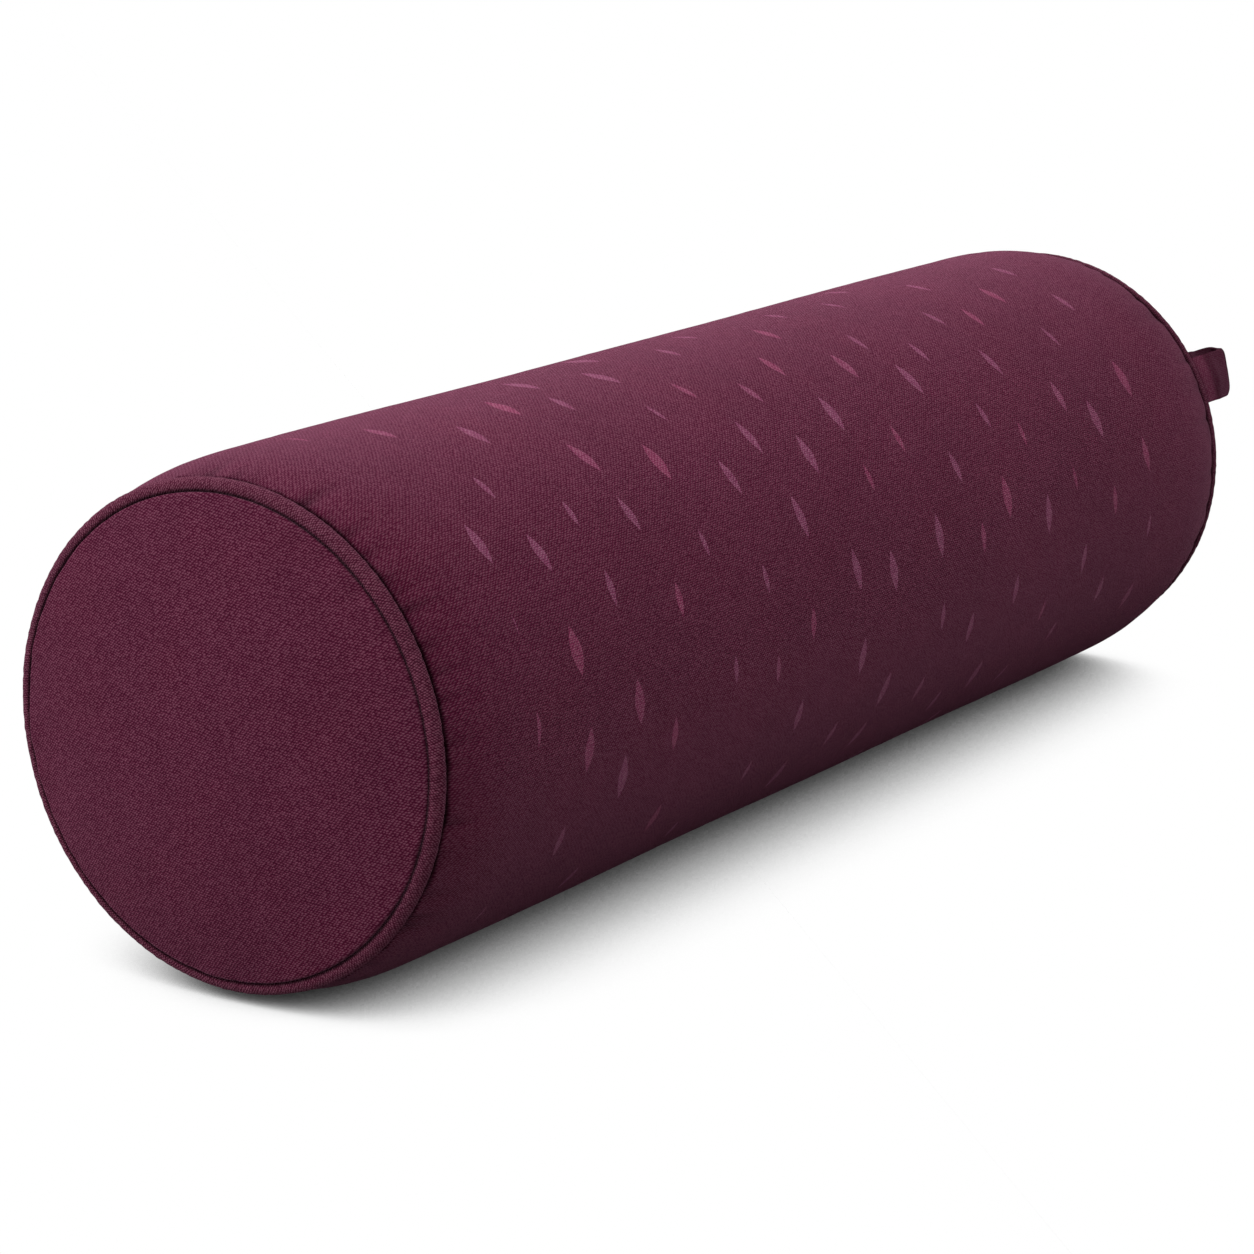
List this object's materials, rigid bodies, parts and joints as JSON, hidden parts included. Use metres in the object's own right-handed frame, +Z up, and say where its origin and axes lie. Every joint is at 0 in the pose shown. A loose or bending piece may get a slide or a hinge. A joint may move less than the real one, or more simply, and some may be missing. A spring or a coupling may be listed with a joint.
{
  "type": "round yoga bolster",
  "caption": "Round floor bolster: printed cloth barrel with domed, piped end panels, a folded loop tab and a hidden zip, over a lined batting roll with a foam core.",
  "frame": {"origin": "on the floor, in the middle of the flat strip that the roll rests on, under the middle of its length", "axes": "+X along the roll towards the end with the loop tab, +Z up, and -Y towards the side with the loop tab"},
  "size_m": [0.753, 0.2198, 0.2195],
  "materials": {
    "printed_cloth": "matt plain-weave cotton with small woven-look dashes in a dustier shade",
    "plain_cloth": "matt plain-weave cotton",
    "piping_cloth": "matt cotton cut on the bias",
    "loop_cloth": "matt pressed cotton",
    "filler_cord": "soft spun cord",
    "zip_tape": "fine woven tape",
    "zip_nylon": "satin nylon",
    "zip_metal": "satin enamel on cast zinc",
    "liner_cotton": "undyed cotton",
    "batting": "loose fibre",
    "foam": "open-cell foam"
  },
  "bodies": {
    "root": {"cover_barrel": "printed_cloth", "cover_end_near": "plain_cloth", "cover_end_far": "plain_cloth", "piping_near": "piping_cloth", "piping_far": "piping_cloth", "piping_cord_near": "filler_cord", "piping_cord_far": "filler_cord", "zip_tape_upper": "zip_tape", "zip_tape_lower": "zip_tape", "zip_coil_upper": "zip_nylon", "zip_coil_lower": "zip_nylon", "zip_stop_upper": "zip_metal", "zip_stop_lower": "zip_metal", "zip_stop_end": "zip_metal", "liner_barrel": "liner_cotton", "liner_end_near": "liner_cotton", "liner_end_far": "liner_cotton", "batting_wrap": "batting", "batting_end_near": "batting", "batting_end_far": "batting", "foam_core": "foam"},
    "loop": {"loop_tab": "loop_cloth"},
    "slider": {"zip_slider": "zip_metal"},
    "pull": {"zip_pull": "zip_metal"}
  },
  "joints": [
    {"name": "loop_bend", "type": "hinge", "parent": "root", "child": "loop", "pos_m": [0.35479, -0.09208, 0.15642], "axis": [0, -0.454, -0.891], "range_deg": [-35, 70], "stiffness_Nm_per_rad": 0.05},
    {"name": "zip_slide", "type": "slide", "parent": "root", "child": "slider", "axis": [1, 0, 0], "range_m": [-0.5339, 0]},
    {"name": "pull_swing", "type": "hinge", "parent": "slider", "child": "pull", "pos_m": [0.2677, 0.10645, 0.14635], "axis": [0, 0.3271, -0.945], "range_deg": [0, 170]}
  ]
}
